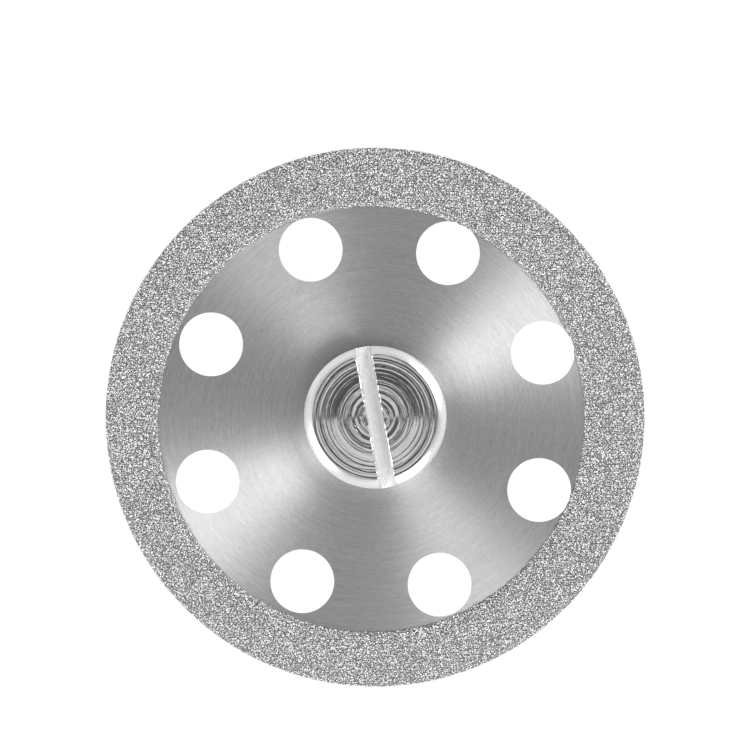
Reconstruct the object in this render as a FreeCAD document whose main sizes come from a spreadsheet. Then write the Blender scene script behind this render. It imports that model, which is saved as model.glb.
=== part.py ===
import FreeCAD, Part
import os
from math import radians
import Sketcher

# A double-sided diamond disc, mounted for a straight handpiece.
# +Z runs along the spin axis, from the end of the shank (z = 0) to the slotted head.
# +X and +Y are the right and the top of the disc when its screw head is looked at.
# All lengths are in millimetres and all angles are in degrees.

SIZES = {
    # the whole tool
    "overall_length": 44.5,
    "disc_diameter": 22.0,
    # the spring-steel blank
    "blade_thickness": 0.15,
    "blade_bore": 1.85,
    "vent_diameter": 2.6,
    "vent_land": 0.065,
    "vent_count": 8,
    "vent_phase": 21.05,
    # the plated coat of diamond grit
    "coating_thickness": 0.08,
    "coating_rim": 0.12,
    "coating_round": 0.07,
    "coating_band": 2.315,
    "coating_offset": 0.165,
    "coating_offset_angle": 209.5,
    # the slotted clamping screw
    "head_diameter": 5.82,
    "head_height": 0.9,
    "head_chamfer_width": 0.37,
    "head_chamfer_drop": 0.3,
    "ring_count": 12,
    "ring_depth": 0.02,
    "slot_width": 0.62,
    "slot_depth": 0.5,
    "slot_angle": 100.5,
    "shoulder_diameter": 1.8,
    "shoulder_reach": 0.3,
    "thread_diameter": 1.6,
    "thread_length": 4.0,
    "thread_chamfer": 0.2,
    # the shank with its flange
    "shank_diameter": 2.35,
    "shank_chamfer": 0.3,
    "neck_radius": 1.2,
    "flange_diameter": 5.6,
    "flange_thickness": 0.7,
    "flange_edge": 0.1,
    "flange_cone": 1.1,
    "drill_point_angle": 118,
    # the room between the screw and the holes that it goes into
    "shoulder_clearance": 0.03,
    "shoulder_end_gap": 0.1,
    "thread_clearance": 0.02,
    "thread_end_gap": 0.6,
}

# Radii and heights that follow from the sizes. A height is in its piece's own frame,
# which starts at the piece's lowest point.
PLACES = {
    # the blade and its coat
    "disc_radius": "Sizes.disc_diameter / 2",
    "blade_radius": "Places.disc_radius - Sizes.coating_rim",
    "blade_bore_radius": "Sizes.blade_bore / 2",
    "vent_radius": "Sizes.vent_diameter / 2",
    "coating_bore_radius": "Places.disc_radius - Sizes.coating_band",
    "vent_distance": "Places.coating_bore_radius - Sizes.vent_land - Places.vent_radius",
    "channel_roof": "Sizes.coating_thickness + Sizes.blade_thickness",
    "coating_top": "Places.channel_roof + Sizes.coating_thickness",
    # the screw
    "head_radius": "Sizes.head_diameter / 2",
    "face_radius": "Places.head_radius - Sizes.head_chamfer_width",
    "ring_pitch": "Places.face_radius / Sizes.ring_count",
    "shoulder_radius": "Sizes.shoulder_diameter / 2",
    "thread_radius": "Sizes.thread_diameter / 2",
    "thread_tip_radius": "Places.thread_radius - Sizes.thread_chamfer",
    "head_seat": "Sizes.thread_length + Sizes.shoulder_reach + Sizes.blade_thickness",
    "head_top": "Places.head_seat + Sizes.head_height",
    "chamfer_foot": "Places.head_top - Sizes.head_chamfer_drop",
    "ring_floor": "Places.head_top - Sizes.ring_depth",
    # the mandrel
    "shank_radius": "Sizes.shank_diameter / 2",
    "shank_tip_radius": "Places.shank_radius - Sizes.shank_chamfer",
    "flange_radius": "Sizes.flange_diameter / 2",
    "flange_face": "Sizes.overall_length - Sizes.head_height - Sizes.blade_thickness",
    "flange_back": "Places.flange_face - Sizes.flange_thickness",
    "cone_foot": "Places.flange_back - Sizes.flange_cone",
    "counterbore_radius": "Places.shoulder_radius + Sizes.shoulder_clearance",
    "shoulder_end": "Places.flange_face - Sizes.shoulder_reach",
    "counterbore_floor": "Places.shoulder_end - Sizes.shoulder_end_gap",
    "hole_radius": "Places.thread_radius + Sizes.thread_clearance",
    "thread_end": "Places.shoulder_end - Sizes.thread_length",
    "hole_floor": "Places.thread_end - Sizes.thread_end_gap",
    "hole_tip": "Places.hole_floor - Places.hole_radius / tan(Sizes.drill_point_angle / 2)",
    # where the pieces that the mandrel carries start
    "coating_start": "Places.flange_face - Sizes.coating_thickness",
    "screw_start": "Places.thread_end",
}

# A coordinate of zero: a corner on the spin axis or on the piece's base.
ZERO = "zero"

# The sketcher's numbers for the ends of a line, a centre and the two axes.
START, END, CENTRE = range(1, 4)
ACROSS_AXIS, UP_AXIS = range(-1, -3, -1)
ORIGIN = (ACROSS_AXIS, START)

# How near a fillet's edge lies to its named place.
EDGE_MATCH = 1e-4

FULL_TURN = 360
UP = FreeCAD.Vector(0, 0, 1)

doc = FreeCAD.newDocument("diamond_disc")
sheet = doc.addObject("Spreadsheet::Sheet", "Sizes")
places = doc.addObject("App::VarSet", "Places")


def fill_sheet():
    """Write the driving sizes into the sheet, one row each, with the name as its alias."""
    for row, (name, value) in enumerate(SIZES.items(), start=1):
        sheet.set("A" + str(row), name)
        sheet.set("B" + str(row), str(value))
        sheet.setAlias("B" + str(row), name)
    doc.recompute()


def add_place(name, formula):
    """Keep a radius or height that follows from the sizes, under its own name."""
    places.addProperty("App::PropertyFloat", name)
    places.setExpression(name, formula)
    return name


def formula_of(name):
    """Write a size or place the way a formula names it."""
    return ("Sizes." if name in SIZES else "Places.") + name


def value_of(name):
    """Give the present value of a size or place."""
    if name == ZERO:
        return 0.0
    return float(getattr(sheet if name in SIZES else places, name))


def new_body(label, start=None):
    """Start a piece whose own frame stands at a named height above the shank's end."""
    body = doc.addObject("PartDesign::Body", label)
    body.Label = label
    if start:
        body.setExpression("Placement.Base.z", formula_of(start))
    return body


def origin_feature(body, role):
    """Find one of the body's own origin planes or axes."""
    return next(item for item in body.Origin.OriginFeatures if item.Role == role)


def new_sketch(body, name, plane, height=None):
    """Lay a sketch on one of the body's origin planes, lifted to a named height if given."""
    sketch = body.newObject("Sketcher::SketchObject", name)
    sketch.AttachmentSupport = [(origin_feature(body, plane), "")]
    sketch.MapMode = "FlatFace"
    if height:
        sketch.setExpression("AttachmentOffset.Base.z", formula_of(height))
    return sketch


def bind(sketch, kind, geometry, name):
    """Add a constraint whose value follows a named size or place."""
    value = value_of(name)
    formula = formula_of(name)
    if kind == "Angle":
        value = radians(value)
        formula += " * 1 deg"
    index = sketch.addConstraint(Sketcher.Constraint(kind, *geometry, value))
    label = kind.lower() + "_" + str(index)
    sketch.renameConstraint(index, label)
    sketch.setExpression("Constraints." + label, formula)


def tie_point(sketch, kind, axis, line, name):
    """Tie a line's start to an axis: on it, or at a named distance from it."""
    if name == ZERO:
        sketch.addConstraint(Sketcher.Constraint("PointOnObject", line, START, axis))
    else:
        bind(sketch, kind, (*ORIGIN, line, START), name)


def draw_outline(sketch, corners):
    """Join the corners by straight lines into a closed outline, each tied to its place."""
    points = [FreeCAD.Vector(value_of(across), value_of(up), 0) for across, up in corners]
    following = points[1:] + points[:1]
    lines = [Part.LineSegment(here, there) for here, there in zip(points, following)]
    numbers = sketch.addGeometry(lines, False)
    for line, next_line in zip(numbers, numbers[1:] + numbers[:1]):
        sketch.addConstraint(Sketcher.Constraint("Coincident", line, END, next_line, START))
    for line, (across, up) in zip(numbers, corners):
        tie_point(sketch, "DistanceX", UP_AXIS, line, across)
        tie_point(sketch, "DistanceY", ACROSS_AXIS, line, up)


def draw_circle(sketch, radius):
    """Draw a circle round the sketch's origin."""
    circle = Part.Circle(FreeCAD.Vector(0, 0, 0), UP, value_of(radius))
    ring = sketch.addGeometry(circle, False)
    sketch.addConstraint(Sketcher.Constraint("Coincident", ring, CENTRE, *ORIGIN))
    bind(sketch, "Radius", (ring,), radius)


def draw_circle_out(sketch, radius, distance, angle):
    """Draw a circle whose centre lies a distance out, on an arm at an angle from +X."""
    arm_end = FreeCAD.Rotation(UP, value_of(angle)).multVec(
        FreeCAD.Vector(value_of(distance), 0, 0)
    )
    arm = sketch.addGeometry(Part.LineSegment(FreeCAD.Vector(0, 0, 0), arm_end), True)
    ring = sketch.addGeometry(Part.Circle(arm_end, UP, value_of(radius)), False)
    sketch.addConstraint(Sketcher.Constraint("Coincident", arm, START, *ORIGIN))
    sketch.addConstraint(Sketcher.Constraint("Coincident", ring, CENTRE, arm, END))
    bind(sketch, "Distance", (arm,), distance)
    bind(sketch, "Angle", (arm,), angle)
    bind(sketch, "Radius", (ring,), radius)


def turn(body, name, corners, kind="PartDesign::Revolution"):
    """Turn an outline of (radius, height) corners once round the piece's axis."""
    sketch = new_sketch(body, name + "_outline", "XZ_Plane")
    draw_outline(sketch, corners)
    feature = body.newObject(kind, name)
    feature.Profile = sketch
    feature.ReferenceAxis = (sketch, ["V_Axis"])
    feature.Angle = FULL_TURN
    doc.recompute()
    return feature


def round_edges(body, name, base, radius, edges):
    """Round the circular edges of base that lie at the named (radius, height) places."""
    spots = [(value_of(across), value_of(up)) for across, up in edges]
    names = []
    for number, edge in enumerate(base.Shape.Edges, start=1):
        if not isinstance(edge.Curve, Part.Circle):
            continue
        for across, up in spots:
            off = abs(edge.Curve.Radius - across) + abs(edge.Curve.Center.z - up)
            if off < EDGE_MATCH:
                names.append("Edge" + str(number))
    fillet = body.newObject("PartDesign::Fillet", name)
    fillet.Base = (base, names)
    fillet.setExpression("Radius", formula_of(radius))
    doc.recompute()
    return fillet


def cut_through(body, name, sketch):
    """Cut a sketch on the piece's base right through the piece."""
    cut = body.newObject("PartDesign::Pocket", name)
    cut.Profile = sketch
    cut.Type = "ThroughAll"
    cut.Reversed = True
    doc.recompute()
    return cut


def cut_vents(body):
    """Cut the ring of vent holes, which go through the blade and its coat alike."""
    sketch = new_sketch(body, body.Label + "_vent_outline", "XY_Plane")
    draw_circle_out(sketch, "vent_radius", "vent_distance", "vent_phase")
    vent = cut_through(body, body.Label + "_vent", sketch)
    vents = body.newObject("PartDesign::PolarPattern", body.Label + "_vents")
    vents.Originals = [vent]
    vents.Axis = (origin_feature(body, "Z_Axis"), [""])
    vents.Angle = FULL_TURN
    vents.setExpression("Occurrences", formula_of("vent_count"))
    body.Tip = vents
    doc.recompute()


def make_blade():
    """The blank: a thin flat disc with a bore for the screw's shoulder and round vents."""
    body = new_body("blade", "flange_face")
    sketch = new_sketch(body, "blade_outline", "XY_Plane")
    draw_circle(sketch, "blade_radius")
    draw_circle(sketch, "blade_bore_radius")
    blank = body.newObject("PartDesign::Pad", "blank")
    blank.Profile = sketch
    blank.setExpression("Length", formula_of("blade_thickness"))
    doc.recompute()
    cut_vents(body)
    return body


def make_coating():
    """The plated coat: both faces and the edge of the blade in one U-shaped section.

    Its inner edge is a circle that lies off the disc's centre, so the band is wider on one
    side and the vents on that side bite into it.
    """
    body = new_body("diamond_coating", "coating_start")
    coat = turn(
        body,
        "coat",
        [
            (ZERO, ZERO),
            ("disc_radius", ZERO),
            ("disc_radius", "coating_top"),
            (ZERO, "coating_top"),
        ],
    )
    rim = [("disc_radius", ZERO), ("disc_radius", "coating_top")]
    round_edges(body, "coat_round", coat, "coating_round", rim)
    sketch = new_sketch(body, "coat_bore_outline", "XY_Plane")
    draw_circle_out(sketch, "coating_bore_radius", "coating_offset", "coating_offset_angle")
    cut_through(body, "coat_bore", sketch)
    turn(
        body,
        "blade_channel",
        [
            (ZERO, "coating_thickness"),
            ("blade_radius", "coating_thickness"),
            ("blade_radius", "channel_roof"),
            (ZERO, "channel_roof"),
        ],
        "PartDesign::Groove",
    )
    cut_vents(body)
    return body


def face_rings():
    """Give the corners of the head's face, which the lathe tool left in fine rings."""
    corners = []
    for ring in range(SIZES["ring_count"]):
        name = "ring_" + str(ring)
        valley = "Places.face_radius - Places.ring_pitch * " + str(ring + 0.5)
        crest = "Places.face_radius - Places.ring_pitch * " + str(ring + 1)
        corners.append((add_place(name + "_valley", valley), "ring_floor"))
        if ring < SIZES["ring_count"] - 1:
            corners.append((add_place(name + "_crest", crest), "head_top"))
    doc.recompute()
    return corners


def make_screw():
    """The screw: a turned pin with a shoulder and a chamfered head, slotted right across."""
    body = new_body("clamp_screw", "screw_start")
    body.setExpression("Placement.Rotation.Angle", formula_of("slot_angle"))
    turn(
        body,
        "turned_screw",
        [
            (ZERO, ZERO),
            ("thread_tip_radius", ZERO),
            ("thread_radius", "thread_chamfer"),
            ("thread_radius", "thread_length"),
            ("shoulder_radius", "thread_length"),
            ("shoulder_radius", "head_seat"),
            ("head_radius", "head_seat"),
            ("head_radius", "chamfer_foot"),
            ("face_radius", "head_top"),
            *face_rings(),
            (ZERO, "head_top"),
        ],
    )
    sketch = new_sketch(body, "slot_outline", "XY_Plane", "head_top")
    draw_slot(sketch)
    slot = body.newObject("PartDesign::Pocket", "slot")
    slot.Profile = sketch
    slot.setExpression("Length", formula_of("slot_depth"))
    doc.recompute()
    return body


def draw_slot(sketch):
    """Draw the saw's cut: a long bar across the head, centred on it."""
    half_length = value_of("head_radius")
    half_width = value_of("slot_width") / 2
    corners = [
        FreeCAD.Vector(-half_length, -half_width, 0),
        FreeCAD.Vector(half_length, -half_width, 0),
        FreeCAD.Vector(half_length, half_width, 0),
        FreeCAD.Vector(-half_length, half_width, 0),
    ]
    following = corners[1:] + corners[:1]
    lines = [Part.LineSegment(here, there) for here, there in zip(corners, following)]
    bottom, right, top, left = sketch.addGeometry(lines, False)
    for line, next_line in ((bottom, right), (right, top), (top, left), (left, bottom)):
        sketch.addConstraint(Sketcher.Constraint("Coincident", line, END, next_line, START))
    for line in (bottom, top):
        sketch.addConstraint(Sketcher.Constraint("Horizontal", line))
    for line in (right, left):
        sketch.addConstraint(Sketcher.Constraint("Vertical", line))
    sketch.addConstraint(Sketcher.Constraint("Symmetric", bottom, START, top, START, *ORIGIN))
    bind(sketch, "DistanceX", (bottom, START, bottom, END), "head_diameter")
    bind(sketch, "DistanceY", (right, START, right, END), "slot_width")


def make_mandrel():
    """The mandrel: a plain shank with a coned flange, counterbored and tapped on its face."""
    body = new_body("mandrel")
    turned = turn(
        body,
        "turned_mandrel",
        [
            (ZERO, ZERO),
            ("shank_tip_radius", ZERO),
            ("shank_radius", "shank_chamfer"),
            ("shank_radius", "cone_foot"),
            ("flange_radius", "flange_back"),
            ("flange_radius", "flange_face"),
            ("counterbore_radius", "flange_face"),
            ("counterbore_radius", "counterbore_floor"),
            ("hole_radius", "counterbore_floor"),
            ("hole_radius", "hole_floor"),
            (ZERO, "hole_tip"),
        ],
    )
    neck = round_edges(body, "neck", turned, "neck_radius", [("shank_radius", "cone_foot")])
    flange = [("flange_radius", "flange_back")]
    round_edges(body, "flange_break", neck, "flange_edge", flange)
    return body


def check_document(pieces):
    """Stop if an object failed, or if a piece has no sound solid."""
    for item in doc.Objects:
        if "Invalid" in item.State or "Error" in item.State:
            raise RuntimeError(item.Name + " failed: " + str(item.State))
    for piece in pieces:
        if piece.Shape.isNull() or not piece.Shape.isValid() or len(piece.Shape.Solids) != 1:
            raise RuntimeError(piece.Label + " isn't one sound solid")


fill_sheet()
for place_name, place_formula in PLACES.items():
    add_place(place_name, place_formula)
doc.recompute()

pieces = [make_mandrel(), make_blade(), make_coating(), make_screw()]
doc.recompute()
check_document(pieces)

os.makedirs("parts", exist_ok=True)
for piece in pieces:
    piece.Shape.exportStep("parts/" + piece.Label + ".step")
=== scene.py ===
from math import cos, pi, radians, sin, tan

import bmesh
import bpy
import numpy as np
from mathutils import Matrix, Vector


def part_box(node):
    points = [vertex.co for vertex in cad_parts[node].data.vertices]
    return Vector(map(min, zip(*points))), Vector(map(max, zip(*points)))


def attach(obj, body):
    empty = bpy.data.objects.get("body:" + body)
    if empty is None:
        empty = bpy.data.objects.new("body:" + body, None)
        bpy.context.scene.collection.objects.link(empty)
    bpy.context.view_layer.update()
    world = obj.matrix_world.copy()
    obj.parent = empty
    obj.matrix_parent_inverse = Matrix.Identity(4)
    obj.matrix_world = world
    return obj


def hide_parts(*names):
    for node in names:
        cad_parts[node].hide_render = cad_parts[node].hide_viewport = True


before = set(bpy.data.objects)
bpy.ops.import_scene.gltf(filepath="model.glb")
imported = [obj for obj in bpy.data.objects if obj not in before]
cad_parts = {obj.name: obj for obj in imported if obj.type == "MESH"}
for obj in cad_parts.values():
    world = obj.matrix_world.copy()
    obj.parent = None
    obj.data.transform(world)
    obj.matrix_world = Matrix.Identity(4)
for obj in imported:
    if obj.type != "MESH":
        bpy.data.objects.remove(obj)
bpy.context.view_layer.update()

# The mandrel: a straight shank with a coned flange, turned from one bar of tool steel, then
# ground and polished. The flange's face carries the blade, and the tapped hole in it takes
# the clamping screw.
MM = 0.001
# All the lengths below are in millimetres, but for those of the room, which are in metres.
mandrel_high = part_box("mandrel")[1]
flange_radius = mandrel_high.x / MM
flange_face = mandrel_high.z / MM
flange_thickness = 0.7
flange_cone = 1.1
shank_radius = 1.175
shank_chamfer = 0.3
neck_radius = 1.2
edge_break = 0.04
flange_break = 0.08
chamfer_break = 0.16
counterbore_radius = 0.93
counterbore_depth = 0.4
tap_radius = 0.82
tap_depth = 4.9
drill_point = 0.49
mandrel_segments = 128
turned_crease = 30
weld = 0.0002
ground_greys = (0.64, 0.74)
ground_roughness = (0.08, 0.18)
handled_roughness = 0.06
grinding_marks = (0.8, 28)
grinding_depth = 0.0012
handling_scale = 0.9


def rounded(corners, steps=5):
    """Give the points of an outline of (radius, height, rounding) corners."""
    places = [Vector(corner[:2]) for corner in corners]
    points = []
    for number, (here, corner) in enumerate(zip(places, corners)):
        rounding = corner[2]
        if not rounding:
            points.append(tuple(here))
            continue
        back = (places[number - 1] - here).normalized()
        on = (places[number + 1] - here).normalized()
        half = back.angle(on) / 2
        centre = here + (back + on).normalized() * rounding / sin(half)
        first = here + back * rounding / tan(half) - centre
        last = here + on * rounding / tan(half) - centre
        for step in range(steps + 1):
            way = first.slerp(last, step / steps).normalized()
            points.append(tuple(centre + way * rounding))
    return points


def closed_piece(name, mesh, crease):
    """Make a piece of a mesh: one closed shell, sharp where it turns by more than a crease."""
    shell = bmesh.new()
    shell.from_mesh(mesh)
    bmesh.ops.remove_doubles(shell, verts=shell.verts, dist=weld * MM)
    bmesh.ops.recalc_face_normals(shell, faces=shell.faces)
    shell.to_mesh(mesh)
    shell.free()
    mesh.shade_smooth()
    mesh.set_sharp_from_angle(angle=radians(crease))
    piece = bpy.data.objects.new(name, mesh)
    bpy.context.scene.collection.objects.link(piece)
    return piece


def shell_mesh(name, points, faces):
    """Make a mesh from points in millimetres."""
    mesh = bpy.data.meshes.new(name)
    mesh.from_pydata([tuple(MM * place for place in point) for point in points], [], faces)
    return mesh


def turned(name, outline, segments):
    """Turn an outline that starts and ends on the axis once round it."""
    angles = [2 * pi * step / segments for step in range(segments)]
    points = [(0, 0, outline[0][1]), (0, 0, outline[-1][1])]
    for radius, height in outline[1:-1]:
        points += [(radius * cos(turn), radius * sin(turn), height) for turn in angles]
    faces = []
    last_ring = 2 + (len(outline) - 3) * segments
    for step in range(segments):
        beside = (step + 1) % segments
        faces.append((0, 2 + beside, 2 + step))
        faces.append((1, last_ring + step, last_ring + beside))
        for ring in range(2, last_ring, segments):
            above = ring + segments
            faces.append((ring + step, ring + beside, above + beside, above + step))
    return closed_piece(name, shell_mesh(name, points, faces), turned_crease)


class Wire:
    """One output of a finish's nodes, so that shader maths reads as plain expressions."""

    def __init__(self, finish, socket):
        self.finish = finish
        self.socket = socket

    def maths(self, operation, *others, output=0):
        """Apply a Math node, or a Vector Math node where this wire carries a vector."""
        vector = self.socket.type == "VECTOR"
        kind = "ShaderNodeVectorMath" if vector else "ShaderNodeMath"
        inputs = dict(enumerate((self, *others)))
        return self.finish.node(kind, {"operation": operation}, inputs, output)

    def __add__(self, other):
        return self.maths("ADD", other)

    def __sub__(self, other):
        return self.maths("SUBTRACT", other)

    def __mul__(self, other):
        return self.maths("MULTIPLY", other)

    def __rsub__(self, other):
        return self * -1 + other

    __radd__ = __add__
    __rmul__ = __mul__


class Finish:
    """The nodes of one material, or of the room round the object."""

    def __init__(self, tree):
        self.tree = tree
        tree.nodes.clear()

    def node(self, kind, settings, inputs, output=0):
        """Add a node, set it up, feed its sockets and give one of its outputs."""
        node = self.tree.nodes.new(kind)
        for name, value in settings.items():
            setattr(node, name, value)
        for name, value in inputs.items():
            if isinstance(value, Wire):
                self.tree.links.new(value.socket, node.inputs[name])
            else:
                node.inputs[name].default_value = value
        return Wire(self, node.outputs[output])

    def close(self, shader, target="ShaderNodeOutputMaterial"):
        """Lead a shader to the output."""
        out = self.tree.nodes.new(target)
        self.tree.links.new(shader.socket, out.inputs["Surface"])


def new_finish(name):
    """Start a material and give it with its nodes."""
    material = bpy.data.materials.new(name)
    material.use_nodes = True
    return material, Finish(material.node_tree)


def grey(value):
    """Write a neutral colour."""
    return (value, value, value, 1)


def blend_greys(finish, share, dark, light):
    """Mix two greys by a share."""
    inputs = {0: share, 6: grey(dark), 7: grey(light)}
    return finish.node("ShaderNodeMix", {"data_type": "RGBA"}, inputs, 2)


def between(share, low, high):
    """Go from a low to a high value with a share from 0 to 1."""
    return share * (high - low) + low


def noise(finish, place, scale, detail=2):
    """Smooth noise from 0 to 1."""
    inputs = {"Vector": place, "Scale": scale, "Detail": detail}
    return finish.node("ShaderNodeTexNoise", {}, inputs)


def place_in_mm(finish):
    """The place on the piece, in millimetres."""
    place = finish.node("ShaderNodeTexCoord", {}, {}, "Object")
    return place * (1 / MM, 1 / MM, 1 / MM)


def radius_in_mm(finish):
    """The distance from the axis, in millimetres."""
    flat = place_in_mm(finish) * (1, 1, 0)
    return flat.maths("LENGTH", output="Value")


def part_along(place, direction):
    """How far a place lies along a direction."""
    return place.maths("DOT_PRODUCT", direction, output="Value")


def tool_marks(finish, around, across, detail):
    """Marks that run round the axis: how often one breaks off, and how close they lie."""
    place = place_in_mm(finish)
    beside_axis = (place * (1, 1, 0)).maths("NORMALIZE") * (around, around, 0)
    height = part_along(place, (0, 0, 1))
    level = (radius_in_mm(finish) + height) * across
    along_axis = finish.node("ShaderNodeCombineXYZ", {}, {"Z": level})
    return noise(finish, beside_axis + along_axis, 1, detail)


def relief(finish, height, depth):
    """Tilt the surface's normal by a relief of so many millimetres."""
    inputs = {"Height": height, "Distance": depth * MM, "Strength": 1}
    return finish.node("ShaderNodeBump", {}, inputs)


def bare_metal(finish, sockets):
    """Make the finish a bare metal with these sockets of its surface."""
    surface = {"Metallic": 1, **sockets}
    finish.close(finish.node("ShaderNodeBsdfPrincipled", {}, surface))


flange_back = flange_face - flange_thickness
mandrel = turned(
    "ground_mandrel",
    rounded(
        [
            (0, 0, 0),
            (shank_radius - shank_chamfer, 0, edge_break),
            (shank_radius, shank_chamfer, chamfer_break),
            (shank_radius, flange_back - flange_cone, neck_radius),
            (flange_radius, flange_back, flange_break),
            (flange_radius, flange_face, edge_break),
            (counterbore_radius, flange_face, edge_break),
            (counterbore_radius, flange_face - counterbore_depth, 0),
            (tap_radius, flange_face - counterbore_depth, 0),
            (tap_radius, flange_face - tap_depth, 0),
            (0, flange_face - tap_depth - drill_point, 0),
        ]
    ),
    mandrel_segments,
)
ground_steel, finish = new_finish("ground_steel")
grinding = tool_marks(finish, *grinding_marks, detail=4)
handling = noise(finish, place_in_mm(finish), handling_scale)
bare_metal(
    finish,
    {
        "Base Color": blend_greys(finish, handling, *ground_greys),
        "Roughness": between(grinding, *ground_roughness) + handling * handled_roughness,
        "Normal": relief(finish, grinding, grinding_depth),
    },
)
mandrel.data.materials.append(ground_steel)
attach(mandrel, "root")
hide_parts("mandrel")

# The blade: a blank punched from thin spring steel, with eight round vents and a bore for
# the screw's shoulder. Its faces are brushed in circles, so they shine in rays from the
# middle, with a few long arcs of deeper scratches.
blade_low, blade_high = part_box("blade")
blade_radius = blade_high.x / MM
blade_bottom = blade_low.z / MM
blade_top = blade_high.z / MM
blade_half = (blade_top - blade_bottom) / 2
blade_middle = (blade_top + blade_bottom) / 2
bore_radius = 0.925
vent_radius = 1.3
vent_distance = 7.32
vent_count = 8
vent_phase = 21.05
rim_points = 720
hole_points = 180
punched_crease = 30
brushed_greys = (0.44, 0.98)
brushed_roughness = (0.54, 0.64)
brushing_marks = (24, 19)
scratch_marks = (3, 9)
scratch_share = 0.35
ray_stretch = 0.95
# The shine is stretched across the brushing, which takes a quarter of a turn.
ray_turn = 0.25
# The faces shine as if they fell away outward by this much to the millimetre, so that each
# side mirrors its own side of the room.
outward_fall = 0.1


def add_circle(curve, centre, radius, count):
    """Add a closed line of points round a centre."""
    spline = curve.splines.new("POLY")
    spline.points.add(count - 1)
    for number, point in enumerate(spline.points):
        turn = 2 * pi * number / count
        across = centre[0] + radius * cos(turn)
        up = centre[1] + radius * sin(turn)
        point.co = (across * MM, up * MM, 0, 1)
    spline.use_cyclic_u = True


def vent_turns():
    """Give the angles of the vents round the axis."""
    return [radians(vent_phase + 360 * vent / vent_count) for vent in range(vent_count)]


blank = bpy.data.curves.new("blank", "CURVE")
blank.dimensions = "2D"
blank.fill_mode = "BOTH"
blank.extrude = blade_half * MM
add_circle(blank, (0, 0), blade_radius, rim_points)
add_circle(blank, (0, 0), bore_radius, hole_points)
for turn in vent_turns():
    centre = (vent_distance * cos(turn), vent_distance * sin(turn))
    add_circle(blank, centre, vent_radius, hole_points)
punching = bpy.data.objects.new("blank", blank)
blade_mesh = bpy.data.meshes.new_from_object(punching)
blade_mesh.transform(Matrix.Translation((0, 0, blade_middle * MM)))
blade = closed_piece("vented_blade", blade_mesh, punched_crease)
bpy.data.objects.remove(punching)

brushed_steel, finish = new_finish("circle_brushed_steel")
brushing = tool_marks(finish, *brushing_marks, detail=4)
scratches = tool_marks(finish, *scratch_marks, detail=3)
worn = brushing * (1 - scratch_share) + scratches * scratch_share
bare_metal(
    finish,
    {
        "Base Color": blend_greys(finish, worn, *brushed_greys),
        "Roughness": between(brushing, *brushed_roughness),
        "Anisotropic": ray_stretch,
        "Anisotropic Rotation": ray_turn,
        "Normal": relief(finish, -1 * radius_in_mm(finish), outward_fall),
    },
)
blade.data.materials.append(brushed_steel)
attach(blade, "root")
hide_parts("blade")

# The coat's bond: nickel plated over both faces and the edge of the blade, which holds the
# diamond grit. Its inner edge lies a little off the centre and is ragged where the plating
# ran under the mask, and the vents on that side bite into it.
coat_low, coat_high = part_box("diamond_coating")
coat_radius = coat_high.x / MM
coat_bottom = coat_low.z / MM
coat_top = coat_high.z / MM
coat_bore = 8.685
coat_offset = 0.165
coat_offset_angle = 209.5
bond_thickness = 0.045
bond_rim = 0.1
bond_corner = 0.1
bond_corner_steps = 12
# The plating starts with a low step and thickens to its full depth over the feather.
bond_lip = 0.01
bond_lip_width = 0.004
bond_feather = 0.2
bond_flat = 0.4
bond_rag = 0.028
fine_rag_width = 1.5
broad_rag_width = 5
smoothing = 8
bond_columns = 1440
bond_crease = 60
# The plating's greys are kept dark so that the bond showing between the crystals looks like shaded
# pits: partly the nickel's own tone, partly painted shade.
plating_and_gap_shade_greys = (0.14, 0.38)
plating_roughness = (0.35, 0.65)
nodule_scale = 14
nodule_depth = 0.03


def inner_edge(turns):
    """Where the coat starts on each ray: on its own circle, or past a vent that bites in."""
    lean = turns - radians(coat_offset_angle)
    edge = coat_offset * np.cos(lean) + np.sqrt(coat_bore**2 - (coat_offset * np.sin(lean)) ** 2)
    for turn in vent_turns():
        swing = turns - turn
        reach = vent_radius**2 - (vent_distance * np.sin(swing)) ** 2
        far = vent_distance * np.cos(swing) + np.sqrt(np.maximum(reach, 0))
        edge = np.where((reach > 0) & (far > edge), far, edge)
    return edge


def smooth_random(draws, count, width):
    """Random values round a circle that change over so many places, from -1 to 1."""
    values = draws.uniform(-1, 1, count)
    waves = np.arange(count // 2 + 1) * width / count
    smooth = np.fft.irfft(np.fft.rfft(values) * np.exp(-(waves**2) * smoothing), count)
    return smooth / np.abs(smooth).max()


draws = np.random.default_rng(11)
turns = np.arange(bond_columns) * 2 * pi / bond_columns
edge = inner_edge(turns)
fine_rag = smooth_random(draws, bond_columns, fine_rag_width)
broad_rag = smooth_random(draws, bond_columns, broad_rag_width)
rag = bond_rag * (fine_rag + broad_rag)
round_rim = np.zeros(bond_columns)
bond_outer = blade_radius + bond_rim
bond_half = blade_half + bond_thickness
rim_arc = [radians(90 - 180 * step / bond_corner_steps) for step in range(bond_corner_steps + 1)]
section = [
    (edge + rag, blade_half),
    (edge + bond_lip_width + rag, blade_half + bond_lip),
    (edge + bond_feather + rag, bond_half),
    (edge + bond_flat, bond_half),
]
for bend in rim_arc:
    reach = bond_outer - bond_corner + bond_corner * cos(bend)
    section.append((reach + round_rim, bond_half * sin(bend)))
section += [
    (edge + bond_flat, -bond_half),
    (edge + bond_feather - rag, -bond_half),
    (edge + bond_lip_width - rag, -blade_half - bond_lip),
    (edge - rag, -blade_half),
    (blade_radius + round_rim, -blade_half),
    (blade_radius + round_rim, blade_half),
]
points = []
for radii, height in section:
    for radius, turn in zip(radii, turns):
        points.append((radius * cos(turn), radius * sin(turn), blade_middle + height))
faces = []
for ring in range(len(section)):
    here = ring * bond_columns
    there = (ring + 1) % len(section) * bond_columns
    for step in range(bond_columns):
        beside = (step + 1) % bond_columns
        faces.append((here + beside, here + step, there + step, there + beside))
bond = closed_piece("nickel_bond", shell_mesh("nickel_bond", points, faces), bond_crease)

# The bond's colour is nodule tone of the nickel darkened overall as painted shade for the gaps
# between the crystals.
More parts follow.
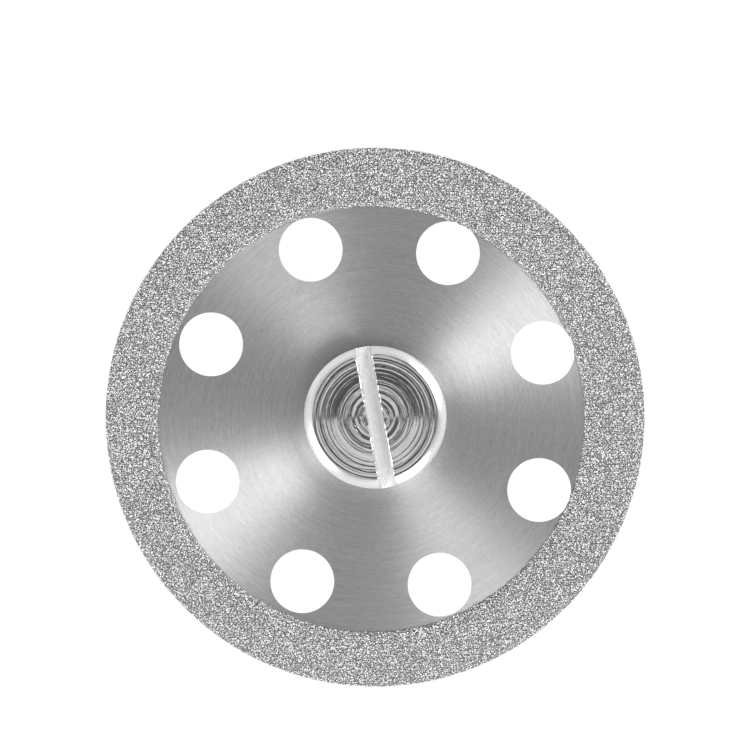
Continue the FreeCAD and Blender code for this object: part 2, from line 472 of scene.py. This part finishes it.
nickel, finish = new_finish("plated_nickel")
nodules = noise(finish, place_in_mm(finish), nodule_scale, detail=3)
bare_metal(
    finish,
    {
        "Base Color": blend_greys(finish, nodules, *plating_and_gap_shade_greys),
        "Roughness": between(nodules, *plating_roughness),
        "Normal": relief(finish, nodules, nodule_depth),
    },
)
bond.data.materials.append(nickel)
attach(bond, "root")
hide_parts("diamond_coating")

# The grit: blocky diamond crystals about a tenth of a millimetre across, sunk by half in
# the bond at every angle. One layer lies on each face, and one goes round the edge.
grit_spacing = 0.0752
grit_scatter = 0.36
grit_size = 0.045
grit_size_range = (0.75, 1.25)
grit_corner_range = (0.65, 1.35)
grit_inset = 0.012
grit_rim_gap = 0.03
edge_band = 0.3
edge_band_half = 0.12
edge_sink = 0.012
grit_shades = (0.54, 0.93)
grit_roughness = (0.44, 0.64)
octahedron = np.array(
    [(1, 0, 0), (0, 1, 0), (-1, 0, 0), (0, -1, 0), (0, 0, 1), (0, 0, -1)], float
)
octahedron_faces = np.array(
    [(0, 1, 4), (1, 2, 4), (2, 3, 4), (3, 0, 4), (1, 0, 5), (2, 1, 5), (3, 2, 5), (0, 3, 5)]
)
# Each crystal has a cell of its own on the map that its colour is baked to, and all of its
# faces lie on this triangle of the cell.
map_triangle = np.array([(0.2, 0.2), (0.8, 0.2), (0.5, 0.8)])


def random_turns(draws, count):
    """Give random rotations as matrices."""
    turns = draws.normal(size=(4, count))
    w, x, y, z = turns / np.sqrt((turns**2).sum(0))
    rows = [
        [1 - 2 * (y * y + z * z), 2 * (x * y - z * w), 2 * (x * z + y * w)],
        [2 * (x * y + z * w), 1 - 2 * (x * x + z * z), 2 * (y * z - x * w)],
        [2 * (x * z - y * w), 2 * (y * z + x * w), 1 - 2 * (x * x + y * y)],
    ]
    return np.array(rows).transpose(2, 0, 1)


def lay_grit(name, centres, draws):
    """Make a layer of crystals at these centres, kept inside the coat."""
    count = len(centres)
    sizes = grit_size * draws.uniform(*grit_size_range, (count, 1, 1))
    lengths = draws.uniform(*grit_corner_range, (count, len(octahedron), 1))
    corners = octahedron * lengths * sizes
    corners = np.einsum("nij,nkj->nki", random_turns(draws, count), corners)
    corners += centres[:, None, :]
    corners[..., 2] = np.clip(corners[..., 2], coat_bottom, coat_top)
    reach = np.hypot(corners[..., 0], corners[..., 1])
    corners[..., :2] *= np.minimum(1, coat_radius / reach)[..., None]
    faces = octahedron_faces + len(octahedron) * np.arange(count)[:, None, None]
    mesh = bpy.data.meshes.new(name)
    mesh.from_pydata((corners.reshape(-1, 3) * MM).tolist(), [], faces.reshape(-1, 3).tolist())
    shades = np.repeat(draws.uniform(0, 1, count), len(octahedron_faces))
    shade = mesh.attributes.new("shade", "FLOAT", "FACE")
    shade.data.foreach_set("value", shades.astype(np.float32))
    side = int(np.ceil(np.sqrt(count)))
    cells = np.stack([np.arange(count) % side, np.arange(count) // side], 1)
    spots = np.zeros((count, len(octahedron_faces), 3, 2)) + cells[:, None, None, :] + map_triangle
    grit_map = mesh.uv_layers.new(name="OFBake")
    grit_map.data.foreach_set("uv", (spots / side).ravel().astype(np.float32))
    grit = bpy.data.objects.new(name, mesh)
    bpy.context.scene.collection.objects.link(grit)
    return grit


def face_places(draws, side):
    """Scatter places about evenly over the bond on one side of the blade."""
    steps = int(2 * coat_radius / grit_spacing) + 2
    rows, columns = np.mgrid[0:steps, 0:steps].astype(float)
    columns += 0.5 * (rows % 2)
    across_scatter = draws.uniform(-grit_scatter, grit_scatter, rows.shape)
    up_scatter = draws.uniform(-grit_scatter, grit_scatter, rows.shape)
    across = ((columns - steps / 2 + across_scatter) * grit_spacing).ravel()
    up = ((rows - steps / 2 + up_scatter) * grit_spacing).ravel()
    reach = np.hypot(across, up)
    past_edge = reach - inner_edge(np.arctan2(up, across))
    inside = (past_edge > grit_inset) & (reach < bond_outer - grit_rim_gap)
    thickness = np.interp(past_edge, (0, bond_feather), (bond_lip, bond_thickness))
    height = blade_middle + side * (blade_half + thickness)
    return np.stack([across, up, height], 1)[inside]


def edge_places(draws):
    """Scatter places round the edge of the bond."""
    count = int(2 * pi * coat_radius * edge_band / grit_spacing**2)
    turns = draws.uniform(0, 2 * pi, count)
    height = draws.uniform(-edge_band_half, edge_band_half, count) + blade_middle
    reach = bond_outer - edge_sink
    return np.stack([reach * np.cos(turns), reach * np.sin(turns), height], 1)


diamond, finish = new_finish("diamond_grit")
shade = finish.node("ShaderNodeAttribute", {"attribute_name": "shade"}, {}, "Fac")
bare_metal(
    finish,
    {
        "Base Color": blend_greys(finish, shade, *grit_shades),
        "Roughness": between(shade, *grit_roughness),
    },
)
draws = np.random.default_rng(23)
grit_top = lay_grit("grit_on_face", face_places(draws, 1), draws)
grit_back = lay_grit("grit_on_back", face_places(draws, -1), draws)
grit_rim = lay_grit("grit_on_edge", edge_places(draws), draws)
for grit in (grit_top, grit_back, grit_rim):
    grit.data.materials.append(diamond)
    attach(grit, "root")

# The clamping screw: turned from steel bar, with a chamfered head whose face keeps the
# rings of the facing tool, and a slot sawn right across that has left a burr along both
# edges. The stem carries a fine thread and goes down into the mandrel.
screw_low, screw_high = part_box("clamp_screw")
head_radius = 2.91
head_top = screw_high.z / MM
head_seat = blade_top
face_radius = 2.54
face_sink = 0.03
face_start = 0.345
ring_step = 0.017
ripple_width = 0.6
ripple_lean = 0.22
chamfer_drop = 0.3
chamfer_blend = 0.04
lip_width = 0.02
lip_drop = 0.006
bevel_width = 0.006
bevel_above = 0.004
bevel_below = 0.002
slot_turn = radians(100.5)
slot_half = 0.325
slot_foot = 0.27
slot_depth = 0.5
slot_floor = head_top - slot_depth
foot_fillet = 0.03
fillet_rise = 0.024
floor_margin = 0.001
saw_mark_depth = 0.005
saw_lean = radians(6)
half_columns = 120
floor_columns = 26
floor_width = floor_columns + 1
# The burr, from the slot's edge outward: how far out it reaches and how high it stands.
burr_reach = (0, 0.025, 0.055, 0.09, 0.13)
burr_height = (-0.005, 0.01, 0, -0.002, 0)
burr_range = (0.4, 1.5)
burr_room = 0.9
foot_break = 0.03
foot_break_height = 0.04
seat_fillet = 0.05
shoulder_radius = 0.9
shoulder_foot = 43.15
thread_radius = 0.8
thread_pitch = 0.35
thread_depth = 0.19
thread_tip = screw_low.z / MM
thread_rows_a_turn = 8
thread_relief = 0.1
thread_ends = 0.15
thread_steepness = 2.4
thread_crest = 1.15
# The thread runs out by the shoulder and by the tip: how far off it ends, over what length.
shoulder_run_out = (0.3, 0.2)
tip_run_out = (-0.05, 0.25)
screw_crease = 25
# Where the facing tool changed its cut: a radius and how far the face leans outward there.
ring_zones = (
    (0.0, -1),
    (0.52, 0),
    (0.74, 9),
    (0.85, -9),
    (0.98, 9),
    (1.07, 0.5),
    (1.2, -6),
    (1.32, 7),
    (1.4, 0.5),
    (1.55, 4.5),
    (1.98, -1),
    (2.05, 7),
    (2.14, 2),
    (2.26, -2),
    (2.37, 8),
    (2.45, -9),
    (2.51, 2),
)
turned_greys = (0.46, 1)
turned_roughness = (0.08, 0.16)
chamfer_roughness = 0.16
turned_contrast = 1.5
turned_shift = 0.2
facing_marks = (1.5, 14)
facing_depth = 0.016
speck_scale = 28
speck_share = 0.45
sawn_greys = (0.82, 1)
sawn_roughness = (0.55, 0.85)
saw_mark_spacing = 20
saw_mark_scale = (5, 5, 5)
sawing_depth = 0.08
floor_lean = 0.2


def facing_rings(draws):
    """Give the face's outline, from the middle out, as the facing tool left it."""
    count = round((face_radius - face_start) / ring_step)
    ripple = smooth_random(draws, count + 1, ripple_width) * ripple_lean
    outline = []
    height = 0.0
    for ring in range(count + 1):
        radius = face_start + ring * ring_step
        lean = [zone_lean for start, zone_lean in ring_zones if start <= radius][-1]
        height -= ring_step * (tan(radians(lean)) + ripple[ring])
        outline.append((radius, height))
    highest = max(height for radius, height in outline)
    return [(radius, head_top - face_sink + height - highest) for radius, height in outline]


def burr_share(radius):
    """How much of the burr's width a ring of this radius has room for."""
    return min(1, burr_room * (radius - slot_half) / burr_reach[-1])


def ring_angles(radius):
    """Angles from the slot's line for one half of a ring, closer together by the slot."""
    share = burr_share(radius)
    near = [np.arcsin((slot_half + reach * share) / radius) for reach in burr_reach]
    middle = np.linspace(near[-1], pi - near[-1], half_columns + 1)[1:-1]
    return [*near, *middle, *(pi - angle for angle in reversed(near))]


def head_place(along, across, height):
    """Turn a place that is given along and across the slot to its place on the screw."""
    x = along * cos(slot_turn) - across * sin(slot_turn)
    y = along * sin(slot_turn) + across * cos(slot_turn)
    return (x, y, height)


# The head's outline goes out over the face and the chamfer and down to the slot's floor.
draws = np.random.default_rng(5)
outline = facing_rings(draws)
face_edge = outline[-1][1]
chamfer_foot = face_edge - chamfer_drop
outline += [(face_radius + lip_width, face_edge - lip_drop)]
outline += [(head_radius - bevel_width, chamfer_foot + bevel_above)]
outline += [(head_radius, chamfer_foot - bevel_below)]
outline += [(head_radius, slot_floor)]
rings = len(outline)
columns = half_columns - 1 + 2 * len(burr_reach)
burrs = draws.uniform(*burr_range, (2, rings, 2))

# The slot parts the head into two halves. Each is a lattice of rings and columns of points,
# and so are the two ends of the slot's floor, which meet in the middle.
floor_first = 2 * rings * columns


def half_point(half, ring, column):
    """The number of a point on one half of the head."""
    return (half * rings + ring) * columns + column


def floor_point(end, ring, column):
    """The number of a point on the slot's floor."""
    return floor_first + (end * rings + ring) * floor_width + column


points = []
for half in range(2):
    side = 1 - 2 * half
    for ring, (radius, height) in enumerate(outline):
        for column, angle in enumerate(ring_angles(radius)):
            near = min(column, columns - 1 - column)
            lift = 0
            if radius <= face_radius and near < len(burr_height):
                edge_side = 0 if column == near else 1
                lift = burr_height[near] * burrs[half, ring, edge_side] * burr_share(radius)
            along = side * radius * cos(angle)
            across = side * radius * sin(angle)
            points.append(head_place(along, across, min(height + lift, head_top)))

flat_half = slot_foot - foot_fillet
floor_across = np.linspace(flat_half, -flat_half, floor_columns - 1)
floor_across = np.array([slot_foot, *floor_across, -slot_foot])
saw_marks = draws.uniform(0, saw_mark_depth, floor_width)
saw_marks[0] = saw_marks[-1] = fillet_rise
for end in (1, -1):
    for ring, (radius, height) in enumerate(outline):
        for across, mark in zip(floor_across, saw_marks):
            along = end * np.sqrt(radius**2 - across**2)
            level = slot_floor + (mark if ring < rings - 1 else 0)
            points.append(head_place(along, across, level))

faces = []
for half in range(2):
    for ring in range(rings - 1):
        for column in range(columns - 1):
            here = half_point(half, ring, column)
            outward = half_point(half, ring + 1, column)
            faces.append((here, outward, outward + 1, here + 1))
    faces.append(tuple(half_point(half, 0, column) for column in reversed(range(columns))))
for end in range(2):
    for ring in range(rings - 1):
        for column in range(floor_columns):
            here = floor_point(end, ring, column)
            outward = floor_point(end, ring + 1, column)
            quad = (here, here + 1, outward + 1, outward)
            faces.append(quad if end else quad[::-1])
for column in range(floor_columns):
    here = floor_point(0, 0, column)
    back = floor_point(1, 0, column)
    faces.append((here, here + 1, back + 1, back))

# The slot's walls join each half's first and last columns to the floor's outer columns.
for half in range(2):
    floor_column = half * floor_columns
    for end in range(2):
        floor_end = (half + end) % 2
        for ring in range(rings - 1):
            top = half_point(half, ring, end * (columns - 1))
            bottom = floor_point(floor_end, ring, floor_column)
            quad = (top, bottom, bottom + floor_width, top + columns)
            faces.append(quad[::-1] if end else quad)
    near_top = half_point(half, 0, 0)
    far_top = half_point(half, 0, columns - 1)
    near_foot = floor_point(half, 0, floor_column)
    far_foot = floor_point(1 - half, 0, floor_column)
    faces.append((near_top, far_top, far_foot, near_foot))

# The rest of the screw goes down from the closed ring at the level of the slot's floor.
upper = [half_point(0, rings - 1, column) for column in range(columns)]
upper += [floor_point(1, rings - 1, column) for column in range(floor_width)]
upper += [half_point(1, rings - 1, column) for column in range(columns)]
upper += [floor_point(0, rings - 1, column) for column in reversed(range(floor_width))]
stem_turns = [np.arctan2(points[number][1], points[number][0]) for number in upper]
stem = [
    (head_radius, head_seat + foot_break_height),
    (head_radius - foot_break, head_seat),
    (shoulder_radius + seat_fillet, head_seat),
    (shoulder_radius, head_seat - seat_fillet),
    (shoulder_radius, shoulder_foot + foot_break),
    (shoulder_radius - foot_break, shoulder_foot),
]
thread_length = shoulder_foot - thread_tip - thread_ends
thread_rows = int(thread_length / thread_pitch * thread_rows_a_turn)
thread_top = shoulder_foot - thread_relief


def thread_reach(height, turn):
    """The stem's radius where the thread winds round it, running out at both ends."""
    winding = ((height - thread_tip) / thread_pitch - turn / (2 * pi)) % 1
    crest = max(0, 1 - abs(winding - 0.5) * thread_steepness)
    by_shoulder = (shoulder_foot - shoulder_run_out[0] - height) / shoulder_run_out[1]
    by_tip = (height - thread_tip - tip_run_out[0]) / tip_run_out[1]
    room = max(0, min(1, by_shoulder, by_tip))
    return thread_radius - thread_depth * (1 - min(crest * thread_crest, 1) * room)


rows = [(height, [radius] * len(upper)) for radius, height in stem]
for row in range(thread_rows + 1):
    height = thread_top - (thread_top - thread_tip) * row / thread_rows
    rows.append((height, [thread_reach(height, turn) for turn in stem_turns]))
for height, radii in rows:
    lower = list(range(len(points), len(points) + len(upper)))
    for radius, turn in zip(radii, stem_turns):
        points.append((radius * cos(turn), radius * sin(turn), height))
    for here in range(len(upper)):
        beside = (here + 1) % len(upper)
        faces.append((upper[here], lower[here], lower[beside], upper[beside]))
    upper = lower
faces.append(tuple(reversed(upper)))
screw = closed_piece("slotted_screw", shell_mesh("slotted_screw", points, faces), screw_crease)


def rising(finish, value, low, high, interpolation="LINEAR"):
    """Rise from 0 to 1 while a value goes from low to high."""
    settings = {"interpolation_type": interpolation}
    inputs = {"Value": value, "From Min": low, "From Max": high}
    return finish.node("ShaderNodeMapRange", settings, inputs)


turned_steel, finish = new_finish("turned_steel")
facing = tool_marks(finish, *facing_marks, detail=3)
specks = noise(finish, place_in_mm(finish), speck_scale)
marks = facing * (1 - speck_share) + specks * speck_share
chamfered = rising(finish, radius_in_mm(finish), face_radius, face_radius + chamfer_blend)
contrasted = marks * turned_contrast - turned_shift
bare_metal(
    finish,
    {
        "Base Color": blend_greys(finish, contrasted, *turned_greys),
        "Roughness": between(specks, *turned_roughness) + chamfered * chamfer_roughness,
        "Normal": relief(finish, facing, facing_depth),
    },
)

# The slot's floor has the saw's marks across it at a lean. Its relief also leans along the
# slot, so that it catches the light.
sawn_steel, finish = new_finish("sawn_steel")
place = place_in_mm(finish)
along = part_along(place, (cos(slot_turn), sin(slot_turn), 0))
across = part_along(place, (-sin(slot_turn - saw_lean), cos(slot_turn - saw_lean), 0))
spread = finish.node("ShaderNodeCombineXYZ", {}, {"X": across * saw_mark_spacing})
sawing = noise(finish, place * saw_mark_scale + spread, 1, detail=3)
bare_metal(
    finish,
    {
        "Base Color": blend_greys(finish, sawing, *sawn_greys),
        "Roughness": between(sawing, *sawn_roughness),
        "Normal": relief(finish, sawing * (sawing_depth / floor_lean) + along, floor_lean),
    },
)
screw.data.materials.append(turned_steel)
screw.data.materials.append(sawn_steel)
for face in screw.data.polygons:
    across = face.center.y * cos(slot_turn) - face.center.x * sin(slot_turn)
    level = face.center.z / MM - slot_floor
    in_slot = abs(across) < (slot_half + floor_margin) * MM
    if in_slot and -floor_margin < level < foot_fillet:
        face.material_index = 1
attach(screw, "root")
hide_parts("clamp_screw")

# The room: a pale floor, white walls that thin out low down to three cards with gaps between,
# and a dark grey ceiling, all for the steel to mirror. One wide soft box hangs over the front
# half of the disc, and three small ones lean in from the sides.
floor_reach = 1.3
floor_grey = 0.3
floor_roughness = 0.9
floor_shine = 0.1
# The floor glows more further out: from which radius to which, in millimetres.
floor_glow = (0.7, 0.92)
floor_glow_reach = (150, 1200)
card_turn = radians(15)
card_line = (cos(card_turn), sin(card_turn), 0)
card_gap_light = 0.2
# How far up a direction points where the cards join to walls, and where the ceiling starts.
card_tops = (0.02, 0.12)
ceiling_start = (0.45, 0.62)
ceiling_light = 0.1
wall_light = 0.92
blade_height = blade_top * MM
front_box_distance = 0.8
front_box_forward = 0.465
front_box_size = (1.8, 0.9)
front_box_power = 3.3
side_box_lean = radians(58)
side_box_distance = 0.6
side_box_size = (0.26, 0.2)
side_boxes = (("right_box", 32, 1.4), ("left_box", 211, 1.35), ("low_box", 301, 1.5))
floor_mesh = bpy.data.meshes.new("floor")
corners = [(-floor_reach, -floor_reach, 0), (floor_reach, -floor_reach, 0)]
corners += [(floor_reach, floor_reach, 0), (-floor_reach, floor_reach, 0)]
floor_mesh.from_pydata(corners, [], [(0, 1, 2, 3)])
floor = bpy.data.objects.new("floor", floor_mesh)
bpy.context.scene.collection.objects.link(floor)


def light_path(finish, kind):
    """Give 1 for rays of one kind, such as those that come from the camera, and else 0."""
    return finish.node("ShaderNodeLightPath", {}, {}, kind)


def card_share(way):
    """How white it is this way: the cosine of three times the angle makes three cards."""
    side = part_along((way * (1, 1, 0)).maths("NORMALIZE"), card_line)
    triple = side * (side * side * 4 - 3)
    return triple * 0.5 + 0.5


pale, finish = new_finish("pale_floor")
way = finish.node("ShaderNodeTexCoord", {}, {}, "Object")
seen = light_path(finish, "Is Camera Ray")
through = light_path(finish, "Is Transmission Ray")
mirrored = card_share(way) * light_path(finish, "Is Glossy Ray")
shown = seen.maths("MAXIMUM", through).maths("MAXIMUM", mirrored)
away = rising(finish, radius_in_mm(finish), *floor_glow_reach)
surface = {
    "Base Color": grey(floor_grey),
    "Roughness": floor_roughness,
    "Specular IOR Level": floor_shine,
    "Emission Color": blend_greys(finish, shown * between(away, *floor_glow), 0, 1),
    "Emission Strength": 1,
}
finish.close(finish.node("ShaderNodeBsdfPrincipled", {}, surface))
floor.data.materials.append(pale)

room = bpy.data.worlds.new("room")
bpy.context.scene.world = room
room.use_nodes = True
finish = Finish(room.node_tree)
way = finish.node("ShaderNodeTexCoord", {}, {}, "Generated")
rise = part_along(way, (0, 0, 1))
ceiling = rising(finish, rise, *ceiling_start, "SMOOTHSTEP")
above_cards = rising(finish, rise, *card_tops)
cards = above_cards.maths("MAXIMUM", between(card_share(way), card_gap_light, 1))
walls = ((1 - ceiling) * wall_light + ceiling_light) * cards
shown = light_path(finish, "Is Camera Ray").maths("MAXIMUM", walls)
backdrop = finish.node("ShaderNodeBackground", {}, {"Color": blend_greys(finish, shown, 0, 1)})
finish.close(backdrop, "ShaderNodeOutputWorld")


def soft_box(name, turn, lean, distance, size, power):
    """Hang a soft box at an angle round the axis and a lean from upright, facing the disc."""
    lamp = bpy.data.lights.new(name, "AREA")
    lamp.shape = "RECTANGLE"
    lamp.size, lamp.size_y = size
    lamp.energy = power
    way = Vector((cos(turn) * sin(lean), sin(turn) * sin(lean), cos(lean)))
    box = bpy.data.objects.new(name, lamp)
    box.location = way * distance + Vector((0, 0, blade_height))
    box.rotation_euler = way.to_track_quat("Z", "Y").to_euler()
    box.visible_camera = False
    bpy.context.scene.collection.objects.link(box)
    return box


front = soft_box("front_box", 0, 0, front_box_distance, front_box_size, front_box_power)
front.location.y = -front_box_forward
for name, angle, power in side_boxes:
    soft_box(name, radians(angle), side_box_lean, side_box_distance, side_box_size, power)

# The camera looks straight down on the disc from far away, as in the photo. The photo's side
# and the disc's place in it are in pixels, and its scale is in pixels to the millimetre.
photo_side = 750
photo_scale = 24.52
disc_place = (375.14, 417.2)
camera_height = 500
sensor_width = 36
camera_data = bpy.data.cameras.new("camera")
camera_data.sensor_width = sensor_width
camera_data.lens = sensor_width * camera_height * photo_scale / photo_side
camera = bpy.data.objects.new("camera", camera_data)
camera.location = (
    (photo_side / 2 - disc_place[0]) / photo_scale * MM,
    (disc_place[1] - photo_side / 2) / photo_scale * MM,
    blade_height + camera_height * MM,
)
bpy.context.scene.collection.objects.link(camera)
bpy.context.scene.camera = camera

bpy.context.scene.view_settings.view_transform = "Standard"
